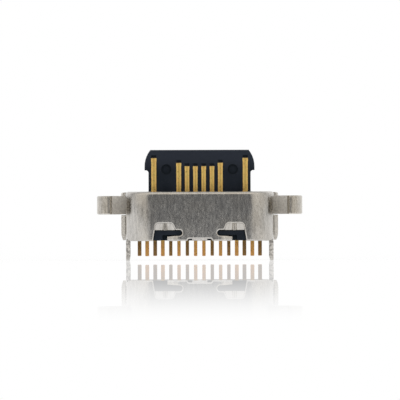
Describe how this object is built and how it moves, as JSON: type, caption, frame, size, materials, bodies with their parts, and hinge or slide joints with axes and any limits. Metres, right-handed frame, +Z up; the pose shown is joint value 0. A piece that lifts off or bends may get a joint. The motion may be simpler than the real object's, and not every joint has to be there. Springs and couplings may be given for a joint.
{
  "type": "charging port",
  "caption": "Reversible charging port: a bare black tongue with gold contacts stands out of a short steel shell on legs; its rear bracket ends in open rolled ears.",
  "frame": {"origin": "midway between the two shell legs' tips, on the plane that they stand on", "axes": "+X along the socket's width, +Y from the windowed front to the bracketed back, +Z up, the way a plug leaves"},
  "size_m": [0.0124, 0.0034, 0.0066],
  "materials": {
    "shell_steel": "satin, rolled and drawn",
    "bracket_steel": "satin, sheared edges",
    "plate_steel": "satin",
    "black_plastic": "fine matt, glass filled",
    "contact_gold": "gold plated, bright"
  },
  "bodies": {
    "root": {"outer_shell": "shell_steel", "rear_bracket": "bracket_steel", "tongue_housing": "black_plastic", "front_terminal_block": "black_plastic", "rear_terminal_block": "black_plastic", "mid_plate": "plate_steel", "contact_a1": "contact_gold", "contact_a4": "contact_gold", "contact_a5": "contact_gold", "contact_a6": "contact_gold", "contact_a7": "contact_gold", "contact_a8": "contact_gold", "contact_a9": "contact_gold", "contact_a12": "contact_gold", "contact_b1": "contact_gold", "contact_b4": "contact_gold", "contact_b5": "contact_gold", "contact_b6": "contact_gold", "contact_b7": "contact_gold", "contact_b8": "contact_gold", "contact_b9": "contact_gold", "contact_b12": "contact_gold"}
  },
  "joints": []
}
